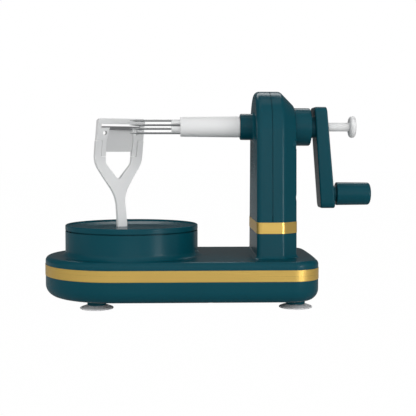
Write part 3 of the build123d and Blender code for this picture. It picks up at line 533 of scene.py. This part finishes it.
def screwSet(node, look, tree):
    # the screws of one CAD node, made by the screw tree on the node's own places
    low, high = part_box(node)
    carrier = bpy.data.meshes.new(look["name"])
    carrier.from_pydata(loosePlaces(node), [], [])
    holder = bpy.data.objects.new(look["name"], carrier)
    bpy.context.scene.collection.objects.link(holder)
    maker = holder.modifiers.new("screws", "NODES")
    maker.node_group = tree
    shape = screwShape
    wanted = {
        "Head Radius": shape["headRadius"], "Head Thickness": shape["headThick"],
        "Shank Radius": shape["shank"], "Length": high.z - low.z,
        "Thread Depth": shape["thread"], "Thread Turns": look["turns"],
        # only the upper half of the slot's bars lies in the head
        "Slot Size": (shape["slotLong"], shape["slotWide"], shape["slotDeep"] * 2),
        "Seed": look["seed"], "Material": materialFor(node),
    }
    for socket in tree.interface.items_tree:
        if socket.item_type == "SOCKET" and socket.in_out == "INPUT" and socket.name in wanted:
            maker[socket.identifier] = wanted[socket.name]
    ready = holder.evaluated_get(bpy.context.evaluated_depsgraph_get())
    made = bpy.data.meshes.new_from_object(ready)
    bpy.data.objects.remove(holder)
    work = bmesh.new()
    work.from_mesh(made)
    bmesh.ops.recalc_face_normals(work, faces=work.faces)
    print("screws in", node, ":", len(work.faces), "faces")
    newPiece(look["name"], work, node)


screws = screwTree()
for node, look in screwLooks.items():
    screwSet(node, look, screws)


# ---- floor, light and camera

floorLook = {"half": 6.0, "shine": 0.995, "bounce": (0.80, 0.80, 0.80), "mirrored": (0.62, 0.62, 0.62)}


def stageMaterial(name, look):
    # pale matt floor, evenly lit to the lens so that only a faint contact shadow is left
    material = bpy.data.materials.new(name)
    material.use_nodes = True
    tree = material.node_tree
    tree.nodes.clear()
    output = tree.nodes.new("ShaderNodeOutputMaterial")
    matt = tree.nodes.new("ShaderNodeBsdfDiffuse")
    glow = tree.nodes.new("ShaderNodeEmission")
    glow.inputs["Color"].default_value = (1.0, 1.0, 1.0, 1.0)
    ray = tree.nodes.new("ShaderNodeLightPath")
    pale = blendColours(tree, ray.outputs["Is Glossy Ray"], look["bounce"], look["mirrored"])
    tree.links.new(pale, matt.inputs["Color"])
    part = tree.nodes.new("ShaderNodeMath")
    part.operation = "MULTIPLY"
    part.inputs[1].default_value = look["shine"]
    mix = tree.nodes.new("ShaderNodeMixShader")
    tree.links.new(ray.outputs["Is Camera Ray"], part.inputs[0])
    tree.links.new(part.outputs["Value"], mix.inputs["Fac"])
    tree.links.new(matt.outputs["BSDF"], mix.inputs[1])
    tree.links.new(glow.outputs["Emission"], mix.inputs[2])
    tree.links.new(mix.outputs["Shader"], output.inputs["Surface"])
    return material


floorMesh = bpy.data.meshes.new("paleFloor")
half = floorLook["half"]
corners = [(-half, -half, 0), (half, -half, 0), (half, half, 0), (-half, half, 0)]
floorMesh.from_pydata(corners, [], [(0, 1, 2, 3)])
floorMesh.materials.append(stageMaterial("paleTable", floorLook))
floor = bpy.data.objects.new("paleFloor", floorMesh)
bpy.context.scene.collection.objects.link(floor)


def studioWorld(settings):
    # white to the lens, and a dimmer even light on the object
    world = bpy.data.worlds.new("studio")
    bpy.context.scene.world = world
    world.use_nodes = True
    tree = world.node_tree
    tree.nodes.clear()
    output = tree.nodes.new("ShaderNodeOutputWorld")
    dim = tree.nodes.new("ShaderNodeBackground")
    dim.inputs["Color"].default_value = (*settings["colour"], 1.0)
    way = tree.nodes.new("ShaderNodeTexCoord")
    split = tree.nodes.new("ShaderNodeSeparateXYZ")
    fade = tree.nodes.new("ShaderNodeMapRange")
    fade.interpolation_type = "SMOOTHSTEP"
    fade.inputs["From Min"].default_value = settings["fadeFrom"]
    fade.inputs["From Max"].default_value = settings["fadeTo"]
    fade.inputs["To Min"].default_value = settings["front"]
    fade.inputs["To Max"].default_value = settings["behind"]
    tree.links.new(way.outputs["Generated"], split.inputs["Vector"])
    tree.links.new(split.outputs["Y"], fade.inputs["Value"])
    tree.links.new(fade.outputs["Result"], dim.inputs["Strength"])
    white = tree.nodes.new("ShaderNodeBackground")
    white.inputs["Strength"].default_value = 1.0
    white.inputs["Color"].default_value = (1.0, 1.0, 1.0, 1.0)
    ray = tree.nodes.new("ShaderNodeLightPath")
    mix = tree.nodes.new("ShaderNodeMixShader")
    tree.links.new(ray.outputs["Is Camera Ray"], mix.inputs["Fac"])
    tree.links.new(dim.outputs["Background"], mix.inputs[1])
    tree.links.new(white.outputs["Background"], mix.inputs[2])
    tree.links.new(mix.outputs["Shader"], output.inputs["Surface"])


studioWorld({"colour": (0.98, 0.99, 1.0), "front": 0.82, "behind": 0.12, "fadeFrom": -0.75, "fadeTo": 0.25})


def softbox(name, settings):
    data = bpy.data.lights.new(name, "AREA")
    data.shape = "RECTANGLE"
    data.size, data.size_y = settings["size"]
    data.energy = settings["energy"]
    lamp = bpy.data.objects.new(name, data)
    bpy.context.scene.collection.objects.link(lamp)
    lamp.location = settings["place"]
    aim = Vector(settings["aim"]) - Vector(settings["place"])
    lamp.rotation_euler = aim.to_track_quat("-Z", "Y").to_euler()
    lamp.visible_glossy = settings.get("seen") != "matt"
    lamp.visible_diffuse = settings.get("seen") != "shine"


# a lamp marked matt isn't mirrored, and one marked shine doesn't light matt surfaces
lights = {
    "overheadBox": {
        "size": (1.0, 0.35), "energy": 1.0,
        "place": (-0.02, 0.05, 1.15), "aim": (0, 0, 0.05),
    },
    "rightStrip": {
        "size": (0.30, 0.26), "energy": 2.0,
        "place": (0.80, -0.80, 0.12), "aim": (0.06, 0, 0.1), "seen": "shine",
    },
    "leftBox": {
        "size": (0.4, 0.6), "energy": 1.95,
        "place": (-1.1, -0.15, 0.30), "aim": (-0.05, 0, 0.08), "seen": "matt",
    },
    "frontFill": {
        "size": (1.0, 0.4), "energy": 4.2,
        "place": (0, -1.4, 0.15), "aim": (0, 0, 0.08), "seen": "matt",
    },
    "rightKey": {
        "size": (0.4, 0.6), "energy": 2.71,
        "place": (0.8, -0.8, 0.4), "aim": (0, 0, 0.08), "seen": "matt",
    },
    "backBox": {
        "size": (1.2, 0.4), "energy": 5.0,
        "place": (0, 1.0, 1.1), "aim": (0, 0, 0.08), "seen": "shine",
    },
}
for name, settings in lights.items():
    softbox(name, settings)

cameraView = {
    "place": (-0.0265, -0.755, 0.128), "yaw": 1.975, "pitch": 3.486, "lens": 75.3,
    "sensor": 36.0, "near": 0.01, "far": 50.0,
}
lens = bpy.data.cameras.new("viewer")
lens.sensor_width = cameraView["sensor"]
lens.lens = cameraView["lens"]
lens.clip_start = cameraView["near"]
lens.clip_end = cameraView["far"]
viewer = bpy.data.objects.new("viewer", lens)
bpy.context.scene.collection.objects.link(viewer)
viewer.location = cameraView["place"]
viewer.rotation_euler = (math.radians(90 - cameraView["pitch"]), 0, math.radians(-cameraView["yaw"]))
bpy.context.scene.camera = viewer
bpy.context.scene.view_settings.view_transform = "Standard"
print("floor, lights and camera placed")

bpy.context.view_layer.update()
